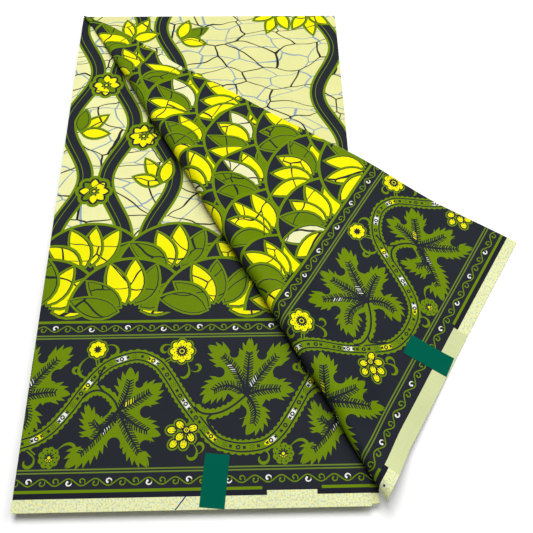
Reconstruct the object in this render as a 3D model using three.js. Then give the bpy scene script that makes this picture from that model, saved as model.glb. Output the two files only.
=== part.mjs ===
// Six yards of wax print cotton, folded to a flat stack of doubled leaves. One front corner of the top leaf
// is turned back along the leaf's diagonal, over a soft unpressed fold, and hangs past the stack's right side.
// Millimetres, +Z up. The selvedges lie to the front (-Y), the fold in the middle of the cloth to the back.
// The origin is on the surface that the stack lies on, under the middle of its whole outline.
import * as THREE from "three";

// Driving dimensions
const LEAF_WIDTH = 312; // across the stack, from fold to fold
const LEAF_LENGTH = 580; // from the selvedges to the fold in the middle of the cloth
const LEAF_WALL = 1.2; // a doubled leaf that shows
const GAP = 0.3; // between pieces that lie on each other

// The leaves that don't show: one rounded solid, layered at its edges
const HIDDEN_HEIGHT = 10;
const EDGE_ROUND = 1.0; // depth of the groove between two layers
const CORNER_RADIUS = 4;
const CORNER_STEPS = 3;
const EDGE_WANDER = 0.5; // how far a layer's edge strays from straight
const SIDE_STEP = 46; // between points along an edge
// How far each layer stops short of the leaf's outline on its four sides, from the lowest layer up
const LAYERS = [
  { left: 2.0, right: 1.4, front: 6.4, back: 1.1 },
  { left: 0.9, right: 2.4, front: 5.2, back: 1.8 },
  { left: 1.8, right: 0.8, front: 3.9, back: 0.8 },
  { left: 1.0, right: 1.9, front: 2.7, back: 1.5 },
  { left: 1.6, right: 0.7, front: 1.0, back: 0.9 },
];
// Heights, as parts of a layer, at which its bulging edge is drawn
const BULGE_LEVELS = [0.12, 0.5, 0.88];

// The second leaf: its right fold stops short of the stack, most at the front
const SECOND_SHORT_FRONT = 8.5;
const SECOND_SHORT_BACK = 1.2;
const SECOND_TAPER = 260; // length over which the front shortfall fades
const SECOND_ROWS = 16;
const SECOND_COLUMNS = 8;

// The fold of the turned corner, measured along the diagonal from the back left corner: its radius, and how
// far its line strays from the diagonal, to the right
const FOLD = [
  { along: 0, radius: 1.6, stray: 0 },
  { along: 28, radius: 1.6, stray: 2.8 },
  { along: 52, radius: 2.2, stray: 3.0 },
  { along: 95, radius: 5.2, stray: 1.5 },
  { along: 130, radius: 8.4, stray: 0.3 },
  { along: 175, radius: 6.8, stray: 0 },
  { along: 270, radius: 10.5, stray: -0.6 },
  { along: 355, radius: 8.8, stray: -0.8 },
  { along: 430, radius: 10.0, stray: -0.4 },
  { along: 505, radius: 8.5, stray: 0 },
  { along: 555, radius: 9.8, stray: 0 },
  { along: 605, radius: 7.4, stray: 0 },
  { along: 660, radius: 7.8, stray: 0 },
];
const SETTLE_RATIO = 6; // the turned part comes down to rest over this many fold radii
const HANG_RUN = 100; // past the stack's side, over which the turned part comes down to the surface
const HANG_CLEARANCE = 0.8; // under the turned corner
const FOLD_ZONE = 18; // each side of the diagonal, drawn in fine steps
const FOLD_STEPS = 14;
const FOLD_POWER = 1.3;
const SPREAD_STEPS = 15;
const SPREAD_POWER = 1.35;
const ROW_STEP = 17; // between points along the diagonal

// Plain paper labels stuck across the selvedges, placed on the leaf before the corner is turned
const LABEL = { width: 21.5, length: 45, wall: 0.5, columns: 4, rows: 8 };
const MAIN_LABEL = { u: 170.3, v: 23.2, turn: -5.5 };
const FLAP_LABEL = { u: 164.6, v: 23.4, turn: -3.5 };

const secondHeight = HIDDEN_HEIGHT + GAP + LEAF_WALL / 2;
const topHeight = secondHeight + LEAF_WALL + GAP;
const restRise = LEAF_WALL + GAP; // of the turned part over the flat part that it lies on
const hangDrop = topHeight + restRise - LEAF_WALL / 2 - HANG_CLEARANCE;

const diagonal = Math.hypot(LEAF_WIDTH, LEAF_LENGTH);
const foldReach = (LEAF_WIDTH * LEAF_LENGTH) / diagonal; // of a corner from the diagonal
const backCorner = new THREE.Vector2(0, LEAF_LENGTH);
const alongFold = new THREE.Vector2(LEAF_WIDTH / diagonal, -LEAF_LENGTH / diagonal);
const acrossFold = new THREE.Vector2(-LEAF_LENGTH / diagonal, -LEAF_WIDTH / diagonal); // to the turned corner

function smoothStep(part) {
  const held = Math.min(Math.max(part, 0), 1);
  return (1 - Math.cos(Math.PI * held)) / 2;
}

// The fold's radius and stray at a place along the diagonal
function foldAt(along) {
  const held = Math.min(Math.max(along, 0), FOLD[FOLD.length - 1].along);
  const next = Math.max(1, FOLD.findIndex((row) => row.along >= held));
  const from = FOLD[next - 1];
  const to = FOLD[next];
  const part = smoothStep((held - from.along) / (to.along - from.along));
  return {
    radius: THREE.MathUtils.lerp(from.radius, to.radius, part),
    stray: THREE.MathUtils.lerp(from.stray, to.stray, part),
  };
}

// The extra cloth that a drop takes up when it comes down smoothly over a run
function slopeSlack(drop, run) {
  return (drop * drop * Math.PI * Math.PI) / (16 * run);
}

function secondLeafPoint(u, v) {
  return new THREE.Vector3(u, v, secondHeight);
}

// The flat place that lies so far along the diagonal and so far across it
function leafSpot(along, across) {
  return backCorner.clone().addScaledVector(alongFold, along).addScaledVector(acrossFold, across);
}

// A point of the top leaf, given its place (u, v) on the leaf before the corner was turned
function topLeafPoint(u, v) {
  const fromCorner = new THREE.Vector2(u, v).sub(backCorner);
  const along = fromCorner.dot(alongFold);
  const { radius, stray } = foldAt(along);
  const across = fromCorner.dot(acrossFold) + stray; // past the fold's line
  const halfTurn = (Math.PI * radius) / 2; // cloth on each side of that line that goes round the fold
  let reach = across;
  let rise = 0;
  if (across > halfTurn) {
    const settled = smoothStep((across - halfTurn) / (SETTLE_RATIO * radius));
    const drop = 2 * radius - restRise;
    reach = slopeSlack(drop, SETTLE_RATIO * radius) * settled - across;
    rise = restRise + drop * (1 - settled);
  } else if (across > -halfTurn) {
    const turned = (across + halfTurn) / radius;
    reach = radius * Math.sin(turned) - halfTurn;
    rise = radius * (1 - Math.cos(turned));
  }
  const spot = leafSpot(along, reach - stray);
  if (across > halfTurn) {
    rise -= hangDrop * smoothStep((spot.x - LEAF_WIDTH) / HANG_RUN);
  }
  return new THREE.Vector3(spot.x, spot.y, topHeight + rise);
}

function surfaceNormal(place, u, v) {
  const nudge = 0.02;
  const alongU = place(u + nudge, v).sub(place(u - nudge, v));
  const alongV = place(u, v + nudge).sub(place(u, v - nudge));
  return alongU.cross(alongV).normalize();
}

// Triangles between neighbouring rows of flat points; each row may have its own count
function joinRows(rows) {
  const flat = rows.flat();
  const triangles = [];
  let start = 0;
  for (let r = 0; r + 1 < rows.length; r += 1) {
    const lower = rows[r].length - 1;
    const upper = rows[r + 1].length - 1;
    const upperStart = start + lower + 1;
    let i = 0;
    let j = 0;
    while (i < lower || j < upper) {
      const lowerFirst = j === upper || (i < lower && (i + 1) * upper <= (j + 1) * lower);
      if (lowerFirst) {
        triangles.push([start + i, start + i + 1, upperStart + j]);
        i += 1;
      } else {
        triangles.push([start + i, upperStart + j + 1, upperStart + j]);
        j += 1;
      }
    }
    start = upperStart;
  }
  return { flat, triangles };
}

// A closed wall of cloth or paper: flat points carried to their places, thickened, and closed round its rim
function sheetGeometry(rows, place, wall, offset = 0) {
  const { flat, triangles } = joinRows(rows);
  const positions = [];
  for (const side of [1, -1]) {
    for (const point of flat) {
      const normal = surfaceNormal(place, point.x, point.y);
      const spot = place(point.x, point.y).addScaledVector(normal, offset + (side * wall) / 2);
      positions.push(spot.x, spot.y, spot.z);
    }
  }
  const under = flat.length;
  const faces = [];
  const rim = new Map();
  for (const [a, b, c] of triangles) {
    faces.push(a, b, c, under + a, under + c, under + b);
    for (const [from, to] of [[a, b], [b, c], [c, a]]) {
      if (!rim.delete(`${to} ${from}`)) {
        rim.set(`${from} ${to}`, [from, to]);
      }
    }
  }
  for (const [from, to] of rim.values()) {
    faces.push(under + from, under + to, to, under + from, to, from);
  }
  const geometry = new THREE.BufferGeometry();
  geometry.setAttribute("position", new THREE.Float32BufferAttribute(positions, 3));
  geometry.setIndex(faces);
  geometry.computeVertexNormals();
  return geometry;
}

// Rows of the second leaf, from the front to the back
function secondLeafRows() {
  const rows = [];
  for (let r = 0; r <= SECOND_ROWS; r += 1) {
    const v = (LEAF_LENGTH * r) / SECOND_ROWS;
    const faded = smoothStep(v / SECOND_TAPER);
    const width = LEAF_WIDTH - SECOND_SHORT_FRONT + (SECOND_SHORT_FRONT - SECOND_SHORT_BACK) * faded;
    const row = [];
    for (let c = 0; c <= SECOND_COLUMNS; c += 1) {
      row.push(new THREE.Vector2((width * c) / SECOND_COLUMNS, v));
    }
    rows.push(row);
  }
  return rows;
}

// Distances from the diagonal at which the top leaf is drawn: fine round the fold, wider further out
function acrossDistances() {
  const distances = [];
  for (let i = 1; i <= FOLD_STEPS; i += 1) {
    distances.push(FOLD_ZONE * Math.pow(i / FOLD_STEPS, FOLD_POWER));
  }
  for (let i = 1; i <= SPREAD_STEPS; i += 1) {
    distances.push(FOLD_ZONE + (foldReach - FOLD_ZONE) * Math.pow(i / SPREAD_STEPS, SPREAD_POWER));
  }
  return [...distances.slice().reverse(), 0, ...distances.map((distance) => -distance)];
}

// Rows of the top leaf: lines parallel to the diagonal, from the turned corner to the opposite one
function topLeafRows() {
  const slope = LEAF_WIDTH / LEAF_LENGTH;
  return acrossDistances().map((across) => {
    const first = Math.max(across / slope, -across * slope);
    const last = diagonal - Math.max(across * slope, -across / slope);
    const steps = Math.round((last - first) / ROW_STEP);
    const row = [];
    for (let i = 0; i <= steps; i += 1) {
      const along = steps === 0 ? first : first + ((last - first) * i) / steps;
      row.push(leafSpot(along, across));
    }
    return row;
  });
}

// Rows of a label, a rectangle turned a little about its middle
function labelRows({ u, v, turn }) {
  const rows = [];
  const middle = new THREE.Vector2(u, v);
  const angle = THREE.MathUtils.degToRad(turn);
  for (let r = 0; r <= LABEL.rows; r += 1) {
    const row = [];
    for (let c = 0; c <= LABEL.columns; c += 1) {
      const across = LABEL.width * (c / LABEL.columns - 0.5);
      const along = LABEL.length * (r / LABEL.rows - 0.5);
      row.push(new THREE.Vector2(across, along).add(middle).rotateAround(middle, angle));
    }
    rows.push(row);
  }
  return rows;
}

// One ring round the stack at a height, with its insets from the leaf's outline on the four sides
function stackRing(height, inset, grow, phase) {
  const low = new THREE.Vector2(inset.left + grow, inset.front + grow).addScalar(CORNER_RADIUS);
  const high = new THREE.Vector2(LEAF_WIDTH - inset.right - grow, LEAF_LENGTH - inset.back - grow);
  high.addScalar(-CORNER_RADIUS);
  const centres = [
    new THREE.Vector2(high.x, low.y),
    high,
    new THREE.Vector2(low.x, high.y),
    low,
  ];
  const sides = [LEAF_LENGTH, LEAF_WIDTH, LEAF_LENGTH, LEAF_WIDTH];
  const ring = [];
  centres.forEach((centre, side) => {
    const inward = new THREE.Vector2(-1, 0).rotateAround(new THREE.Vector2(), (side * Math.PI) / 2);
    for (let i = 0; i < CORNER_STEPS; i += 1) {
      const angle = (Math.PI / 2) * (side - 1 + i / CORNER_STEPS);
      const spoke = new THREE.Vector2(Math.cos(angle), Math.sin(angle)).multiplyScalar(CORNER_RADIUS);
      ring.push(spoke.add(centre));
    }
    const from = centre.clone().addScaledVector(inward, -CORNER_RADIUS);
    const to = centres[(side + 1) % centres.length].clone().addScaledVector(inward, -CORNER_RADIUS);
    const steps = Math.round(sides[side] / SIDE_STEP);
    for (let i = 0; i < steps; i += 1) {
      const part = i / steps;
      const stray = EDGE_WANDER * Math.sin(Math.PI * part) * Math.sin(7 * part + 2.3 * phase + side) ** 2;
      ring.push(from.clone().lerp(to, part).addScaledVector(inward, stray));
    }
  });
  return ring.map((point) => new THREE.Vector3(point.x, point.y, height));
}

function meanInset(one, other) {
  const inset = {};
  for (const side of Object.keys(one)) {
    inset[side] = (one[side] + other[side]) / 2;
  }
  return inset;
}

// The hidden leaves: rings from the bottom up, a groove between each two layers, closed by two flat ends
function stackGeometry() {
  const layerHeight = HIDDEN_HEIGHT / LAYERS.length;
  const rings = [];
  LAYERS.forEach((layer, k) => {
    const below = k === 0 ? layer : LAYERS[k - 1];
    rings.push(stackRing(k * layerHeight, meanInset(layer, below), EDGE_ROUND, k));
    for (const level of BULGE_LEVELS) {
      const grow = EDGE_ROUND * (1 - Math.sqrt(1 - (2 * level - 1) ** 2));
      rings.push(stackRing((k + level) * layerHeight, layer, grow, k));
    }
  });
  rings.push(stackRing(HIDDEN_HEIGHT, LAYERS[LAYERS.length - 1], EDGE_ROUND, LAYERS.length));
  const count = rings[0].length;
  const faces = [];
  for (let r = 0; r + 1 < rings.length; r += 1) {
    for (let i = 0; i < count; i += 1) {
      const a = r * count + i;
      const b = r * count + ((i + 1) % count);
      faces.push(a, b, b + count, a, b + count, a + count);
    }
  }
  const points = rings.flat();
  const middle = { x: LEAF_WIDTH / 2, y: LEAF_LENGTH / 2 };
  const bottom = points.push(new THREE.Vector3(middle.x, middle.y, 0)) - 1;
  const top = points.push(new THREE.Vector3(middle.x, middle.y, HIDDEN_HEIGHT)) - 1;
  const last = (rings.length - 1) * count;
  for (let i = 0; i < count; i += 1) {
    const next = (i + 1) % count;
    faces.push(bottom, next, i, top, last + i, last + next);
  }
  const geometry = new THREE.BufferGeometry().setFromPoints(points);
  geometry.setIndex(faces);
  geometry.computeVertexNormals();
  return geometry;
}

const MATERIALS = {
  print: new THREE.MeshStandardMaterial({ color: 0x5f7a12, roughness: 0.6, metalness: 0 }),
  edges: new THREE.MeshStandardMaterial({ color: 0x3a4426, roughness: 0.75, metalness: 0 }),
  label: new THREE.MeshStandardMaterial({ color: 0x00614d, roughness: 0.5, metalness: 0 }),
};

function piece(name, geometry, material) {
  const mesh = new THREE.Mesh(geometry, MATERIALS[material]);
  mesh.name = name;
  return mesh;
}

const labelOffset = LEAF_WALL / 2 + GAP + LABEL.wall / 2;
const cloth = new THREE.Group();
cloth.add(piece("folded_stack", stackGeometry(), "edges"));
cloth.add(piece("second_leaf", sheetGeometry(secondLeafRows(), secondLeafPoint, LEAF_WALL), "print"));
cloth.add(piece("top_leaf", sheetGeometry(topLeafRows(), topLeafPoint, LEAF_WALL), "print"));
const mainLabel = sheetGeometry(labelRows(MAIN_LABEL), secondLeafPoint, LABEL.wall, labelOffset);
cloth.add(piece("label_main", mainLabel, "label"));
// The turned part shows the leaf's other side, so its label lies off that side
const flapLabel = sheetGeometry(labelRows(FLAP_LABEL), topLeafPoint, LABEL.wall, -labelOffset);
cloth.add(piece("label_flap", flapLabel, "label"));

const outline = new THREE.Box3().setFromObject(cloth);
const middle = outline.getCenter(new THREE.Vector3());
cloth.position.set(-middle.x, -middle.y, -outline.min.z);
const root = new THREE.Group();
root.add(cloth);

export default root;
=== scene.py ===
"""Six yards of bordered wax print cotton, folded to a flat stack, with one front corner of the top leaf
turned back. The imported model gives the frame; this script gives the cloth its print, edges, weave and light.

Lengths are millimetres on the leaf: u from its left fold, v from its selvedge, z up from the surface that the
stack lies on. MM turns them into Blender's metres.
"""

import math
import random

import bpy
import numpy as np
from mathutils import Matrix, Vector
from mathutils.geometry import delaunay_2d_cdt


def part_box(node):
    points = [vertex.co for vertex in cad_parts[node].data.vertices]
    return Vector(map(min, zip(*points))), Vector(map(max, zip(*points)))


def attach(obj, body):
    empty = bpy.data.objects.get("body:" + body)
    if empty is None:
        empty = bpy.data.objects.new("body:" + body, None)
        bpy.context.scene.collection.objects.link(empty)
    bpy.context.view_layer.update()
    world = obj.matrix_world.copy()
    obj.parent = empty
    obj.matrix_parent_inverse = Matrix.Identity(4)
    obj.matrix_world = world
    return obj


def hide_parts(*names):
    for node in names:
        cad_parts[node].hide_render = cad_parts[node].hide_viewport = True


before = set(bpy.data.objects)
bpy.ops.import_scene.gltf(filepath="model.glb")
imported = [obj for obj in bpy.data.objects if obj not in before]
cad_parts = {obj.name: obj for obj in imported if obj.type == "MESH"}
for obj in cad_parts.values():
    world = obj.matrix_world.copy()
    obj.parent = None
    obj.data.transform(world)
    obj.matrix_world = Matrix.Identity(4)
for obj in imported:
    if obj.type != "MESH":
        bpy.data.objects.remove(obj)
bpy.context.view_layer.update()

MM = 0.001

# ---------------------------------------------------------------- sizes of the folded cloth, as in the frame
LEAF_WIDTH = 312.0
LEAF_LENGTH = 580.0
LEAF_WALL = 1.2
GAP = 0.3
HIDDEN_HEIGHT = 10.0
SECOND_SHORT_FRONT = 8.5
SECOND_SHORT_BACK = 1.2
SECOND_TAPER = 260.0
SETTLE_RATIO = 6.0
HANG_RUN = 100.0
HANG_CLEARANCE = 0.8
# The fold of the turned corner along the leaf's diagonal: place, radius, stray of its line to the right
FOLD = np.array([
    (0, 1.6, 0), (28, 1.6, 2.8), (52, 2.2, 3.0), (95, 5.2, 1.5), (130, 8.4, 0.3), (175, 6.8, 0),
    (270, 10.5, -0.6), (355, 8.8, -0.8), (430, 10.0, -0.4), (505, 8.5, 0), (555, 9.8, 0), (605, 7.4, 0),
    (660, 7.8, 0),
])
SECOND_HEIGHT = HIDDEN_HEIGHT + GAP + LEAF_WALL / 2
TOP_HEIGHT = SECOND_HEIGHT + LEAF_WALL + GAP
REST_RISE = LEAF_WALL + GAP
HANG_DROP = TOP_HEIGHT + REST_RISE - LEAF_WALL / 2 - HANG_CLEARANCE
DIAGONAL = math.hypot(LEAF_WIDTH, LEAF_LENGTH)
ALONG = np.array([LEAF_WIDTH, -LEAF_LENGTH]) / DIAGONAL
ACROSS = np.array([-LEAF_LENGTH, -LEAF_WIDTH]) / DIAGONAL
LEAF_CORNER = np.array([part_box("second_leaf")[0].x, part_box("second_leaf")[0].y, 0.0]) / MM

WALL = 1.0  # thickness of the visible leaves: two plies
PLY_BULGE = 0.28  # how far a ply's edge stands out
PLY_GROOVE = 0.12  # how deep the plies part at the edge


def smooth_step(part):
    return (1 - np.cos(np.pi * np.clip(part, 0, 1))) / 2


def unit(vector):
    return vector / np.hypot(*vector)


def turned_left(vectors):
    return np.stack([-vectors[..., 1], vectors[..., 0]], axis=-1)


def round_angles(count):
    return np.arange(count) * 2 * np.pi / count


def spokes(angles):
    """Unit vectors at these angles, in radians."""
    return np.column_stack([np.cos(angles), np.sin(angles)])


def fold_place(points):
    """How far flat points lie along the diagonal and across it, towards the turned corner."""
    from_corner = points - np.array([0, LEAF_LENGTH])
    return from_corner @ ALONG, from_corner @ ACROSS


def fold_at(along):
    held = np.clip(along, 0, FOLD[-1, 0])
    upper = np.clip(np.searchsorted(FOLD[:, 0], held), 1, len(FOLD) - 1)
    start, end = FOLD[upper - 1], FOLD[upper]
    part = smooth_step((held - start[:, 0]) / (end[:, 0] - start[:, 0]))
    return start[:, 1] + (end[:, 1] - start[:, 1]) * part, start[:, 2] + (end[:, 2] - start[:, 2]) * part


CREASE_WAVE = 3.1  # how fast a crease sways along its length
CREASE_SWAY = 0.12  # how far, as a share of its half width
CREASE_FADE = 0.3  # the share of its length over which it rises at each end
CREASE_SPREAD = 0.55  # of its rounded back, as a share of its half width
CREASES_FROM_FOLD = 30.0  # over what distance the turned corner's creases start, past the fold
CREASES_FROM_FLAT = 40.0
COVER_SLOPE = 348 / 432  # of the turned corner's edge, where it crosses the flat part
COVER_FADE = 30.0
# Soft creases: start and end on the leaf, half width, height (a trough is negative)
SECOND_CREASES = [
    ((30, 30), (14, 560), 26, 0.35), ((78, 12), (66, 330), 18, 0.3), ((140, 8), (122, 210), 22, 0.35),
    ((208, 6), (196, 150), 20, 0.3), ((262, 4), (250, 90), 16, 0.3), ((0, 292), (120, 286), 9, -0.25),
    ((40, 150), (300, 146), 10, 0.25),
]
FLAP_CREASES = [
    ((30, 40), (26, 420), 22, 0.7), ((84, 20), (70, 330), 18, 0.9), ((150, 20), (118, 250), 24, 0.8),
    ((214, 14), (190, 150), 18, 0.8), ((258, 10), (262, 70), 14, 0.6), ((0, 290), (150, 284), 12, 0.8),
    ((0, 148), (210, 152), 12, 0.5),
]
FLAT_CREASES = [
    ((300, 560), (304, 330), 14, 0.3), ((210, 575), (230, 420), 24, 0.35), ((120, 575), (150, 500), 18, 0.3),
]


def crease_height(points, creases):
    """Height of the soft ridges and troughs at flat points."""
    height = np.zeros(len(points))
    for start, end, half_width, lift in creases:
        start, run = np.array(start, float), np.array(end, float) - np.array(start, float)
        length = np.hypot(*run)
        along = (points - start) @ run / length
        aside = (points - start) @ turned_left(run) / length
        aside = aside - CREASE_SWAY * half_width * np.sin(along * CREASE_WAVE / half_width)
        rise = CREASE_FADE * length
        fade = smooth_step(along / rise) * smooth_step((length - along) / rise)
        height += lift * fade * np.exp(-((aside / (CREASE_SPREAD * half_width)) ** 2))
    return height


def second_leaf_place(points):
    """Places of flat points on the second leaf, smooth where the turned leaf covers it."""
    rise = crease_height(points, SECOND_CREASES)
    hidden = smooth_step((6 - fold_place(points)[1]) / 12)
    return np.column_stack([points, SECOND_HEIGHT + rise * (1 - hidden)])


def top_leaf_place(points):
    """Places of flat points on the turned leaf, as the part's own solid has them, with its soft creases."""
    along, across = fold_place(points)
    radius, stray = fold_at(along)
    across = across + stray
    half_turn = np.pi * radius / 2
    settled = smooth_step((across - half_turn) / (SETTLE_RATIO * radius))
    drop = 2 * radius - REST_RISE
    slack = (drop * np.pi) ** 2 / (16 * SETTLE_RATIO * radius)
    turned = (across + half_turn) / radius
    past, before = across > half_turn, across <= -half_turn
    reach = np.where(past, slack * settled - across, radius * np.sin(turned) - half_turn)
    rise = np.where(past, REST_RISE + drop * (1 - settled), radius * (1 - np.cos(turned)))
    reach = np.where(before, across, reach)
    rise = np.where(before, 0, rise)
    spot = np.array([0, LEAF_LENGTH]) + np.outer(along, ALONG) + np.outer(reach - stray, ACROSS)
    rise = rise - np.where(past, HANG_DROP * smooth_step((spot[:, 0] - LEAF_WIDTH) / HANG_RUN), 0)
    away = smooth_step((across - half_turn) / CREASES_FROM_FOLD)
    rise = rise + away * crease_height(points, FLAP_CREASES)
    flat_part = smooth_step((-across - CREASES_FROM_FLAT) / CREASES_FROM_FLAT)
    rise = rise + flat_part * crease_height(points, FLAT_CREASES) * open_part(points)
    return np.column_stack([spot, TOP_HEIGHT + rise])


def open_part(points):
    """1 where the top leaf's flat part lies open, and 0 where the turned corner covers it."""
    edge = LEAF_LENGTH - COVER_SLOPE * points[:, 0]
    return smooth_step((points[:, 1] - edge - 4) / COVER_FADE)


def surface(place, points):
    """Places of flat points and the surface's normals there."""
    nudge = 0.02  # far enough to measure a slope, and short beside the smallest fold
    along_u = place(points + (nudge, 0)) - place(points - (nudge, 0))
    along_v = place(points + (0, nudge)) - place(points - (0, nudge))
    normals = np.cross(along_u, along_v)
    return place(points), normals / np.linalg.norm(normals, axis=1)[:, None]


# ---------------------------------------------------------------- inks
LIGHT_LEVEL = 1.25  # how bright a white surface comes out
GLOSS_LIFT = 0.006  # what the gloss adds to every colour


def linear(colour):
    share = np.array(colour, float) / 255
    value = np.where(share <= 0.04045, share / 12.92, ((share + 0.055) / 1.055) ** 2.4)
    return tuple(np.maximum(0.001, value - GLOSS_LIFT) / LIGHT_LEVEL)


# Each ink: its colour in sRGB, how much crackle crosses it, how much the selvedge's speckle shows on it
INKS = {
    "navy": ((45, 47, 54), 0.0, 0.0),
    "margin": ((38, 39, 49), 0.0, 0.0),
    "olive": ((115, 144, 18), 0.0, 0.0),
    "leaf_olive": ((110, 138, 20), 0.45, 0.0),
    "line": ((114, 138, 50), 0.0, 0.0),
    "yellow": ((254, 249, 6), 0.0, 0.0),
    "leaf_yellow": ((254, 249, 6), 0.5, 0.0),
    "cream": ((245, 244, 177), 1.0, 0.0),
    # painted shade: a darker copy of the cream ground, used only on the top leaf's open part
    "painted_shade_cream": ((236, 235, 163), 1.0, 0.0),
    "leaf_cream": ((244, 243, 190), 0.3, 0.0),
    "bare": ((220, 228, 170), 0.0, 0.0),
    "selvedge": ((228, 231, 184), 0.0, 1.0),
    "white": ((250, 250, 242), 0.0, 0.0),
    "blue": ((48, 60, 130), 0.0, 0.0),
    "plain": ((70, 84, 30), 0.0, 0.0),
}
INK_NAMES = list(INKS)


# ---------------------------------------------------------------- drawing on the flat leaf
LONGEST_STEP = 8.0
FOLD_STEP = 1.6
FOLD_REACH = 24.0  # how far from the diagonal the short steps go


def resample(points):
    """The same closed outline in steps short enough to follow the cloth, and shorter round the fold."""
    for coarse in (True, False):
        following = np.roll(points, -1, axis=0)
        run = following - points
        near_fold = np.abs(fold_place((points + following) / 2)[1]) < FOLD_REACH
        step = LONGEST_STEP if coarse else np.where(near_fold, FOLD_STEP, LONGEST_STEP)
        counts = np.maximum(1, np.ceil(np.hypot(run[:, 0], run[:, 1]) / step)).astype(int)
        points = np.vstack([start + np.outer(np.arange(count) / count, whole)
                            for start, whole, count in zip(points, run, counts)])
    return points


class Print:
    """Shapes painted one over another on a leaf. shows tells which flat points are worth drawing, and
    mirror_at, if given, turns the drawing over, as the other side of the leaf shows it."""

    def __init__(self, shows, mirror_at=None):
        self.shapes = []
        self.shows = shows
        self.mirror_at = mirror_at

    def paint(self, points, ink):
        points = np.array(points, float)
        if self.mirror_at is not None:
            points[:, 0] = self.mirror_at - points[:, 0]
        if self.shows(points).any():
            self.shapes.append((resample(points), INK_NAMES.index(ink)))

    def span(self):
        """The stretch of the drawing's own u that the leaf takes up."""
        return (0, LEAF_WIDTH) if self.mirror_at is None else (self.mirror_at - LEAF_WIDTH, self.mirror_at)


def smooth_line(points, step=2.0):
    """A Catmull-Rom curve through the points."""
    points = np.array(points, float)
    padded = np.vstack([2 * points[0] - points[1], points, 2 * points[-1] - points[-2]])
    out = []
    for a, b, c, d in zip(padded, padded[1:], padded[2:], padded[3:]):
        count = max(2, int(np.hypot(*(c - b)) / step))
        t = (np.arange(count) / count)[:, None]
        square, cube = 2 * a - 5 * b + 4 * c - d, 3 * b - a - 3 * c + d
        out.append(0.5 * (2 * b + (c - a) * t + square * t**2 + cube * t**3))
    return np.vstack(out + [points[-1:]])


def lengths(line):
    return np.concatenate([[0], np.cumsum(np.hypot(*np.diff(line, axis=0).T))])


def headings(line):
    """Unit vectors along a line, at each of its points."""
    ahead = np.gradient(line, axis=0)
    return ahead / np.maximum(1e-9, np.hypot(ahead[:, 0], ahead[:, 1]))[:, None]


def side_vectors(line):
    return turned_left(headings(line))


def band(line, left, right):
    """The outline of a band with its two sides so far from its centre line."""
    aside = side_vectors(line)
    left = np.broadcast_to(left, len(line))[:, None]
    right = np.broadcast_to(right, len(line))[:, None]
    return np.vstack([line + aside * left, (line - aside * right)[::-1]])


BRUSH_STRETCH = 8  # points of the line that one painted shape takes up


def brush(target, line, widths, ink):
    """A brush line, laid in short overlapping stretches so that curls may cross themselves."""
    aside = side_vectors(line)
    upper, lower = line + aside * widths[:, None] / 2, line - aside * widths[:, None] / 2
    for start in range(0, len(line) - 1, BRUSH_STRETCH):
        part = slice(start, start + BRUSH_STRETCH + 1)
        target.paint(np.vstack([upper[part], lower[part][::-1]]), ink)


def stroke(target, line, width, ink, end_width=None):
    brush(target, line, np.linspace(width, width if end_width is None else end_width, len(line)), ink)


def dot(target, centre, radius, ink, corners=10):
    target.paint(np.array(centre) + radius * spokes(round_angles(corners)), ink)


def round_petals(centre, radius, petals, depth, steps=6):
    """The outline of a flower with round petals."""
    angles = round_angles(petals * steps)
    reach = radius * (1 - depth + depth * np.abs(np.cos(petals * angles / 2)) ** 0.8)
    return np.array(centre) + reach[:, None] * spokes(angles)


def petal_rings(target, centre, rings):
    """Outlines of a flower painted one over another: each one's radius, petals, depth and ink."""
    for radius, petals, depth, ink in rings:
        target.paint(round_petals(centre, radius, petals, depth), ink)


def pointed_oval(base, tip, width, lean=0.0):
    """A leaf with two pointed ends; lean moves its widest place to one side."""
    base, tip = np.array(base, float), np.array(tip, float)
    run = tip - base
    aside = turned_left(unit(run))
    t = np.linspace(0, 1, 8)
    swell = np.sin(np.pi * t**0.85) ** 0.85 * width / 2
    middle = base + np.outer(t, run) + np.outer(lean * width * np.sin(np.pi * t), aside)
    return np.vstack([middle + np.outer(swell, aside), (middle - np.outer(swell, aside))[-2:0:-1]])


def oval(centre, along, half_length, half_width):
    angles = round_angles(14)
    return (np.array(centre) + np.outer(half_length * np.cos(angles), along)
            + np.outer(half_width * np.sin(angles), turned_left(along)))


def heading_vector(degrees):
    return np.array([math.cos(math.radians(degrees)), math.sin(math.radians(degrees))])


TENDRIL_POINTS = 22
TENDRIL_WIDTHS = (0.5, 2.9)  # at its two ends, and at its fullest


def tendril(target, start, heading, length, bend, tighten):
    """A curl whose curvature grows along it, and which swells to a crescent and ends in a point. bend and
    tighten are in turns over its length."""
    t = np.linspace(0, 1, TENDRIL_POINTS)
    angle = math.radians(heading) + 2 * np.pi * (bend * t + tighten * t**2)
    steps = spokes(angle) * (length / (TENDRIL_POINTS - 1))
    line = np.array(start) + np.vstack([[0, 0], np.cumsum(steps[:-1], axis=0)])
    thin, full = TENDRIL_WIDTHS
    brush(target, line, thin + (full - thin) * np.sin(np.pi * t**1.9), "olive")


# ---------------------------------------------------------------- the border's bands
SELVEDGE_TOP = 10.6
MARGIN_TOP = 14.9
STRIPE = (15.3, 17.8)
LOW_SCROLL = (24.1, 45.3)  # middle, and a crest's place
LOW_LINES = ((31.3, 32.5), (33.9, 35.2))
HIGH_LINES = ((154.6, 156.0), (157.3, 158.7))
HIGH_SCROLL = (164.9, 51.0)
FIELD_LINE = (170.6, 173.2)
BORDER_TOP = 173.6
BLEED = 3.0  # shapes run on past the leaf's edge


def stripe(target, low, high, ink, start=None, end=None):
    first, last = target.span()
    start = first - BLEED if start is None else start
    end = last + BLEED if end is None else end
    target.paint([(start, low), (end, low), (end, high), (start, high)], ink)


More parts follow.
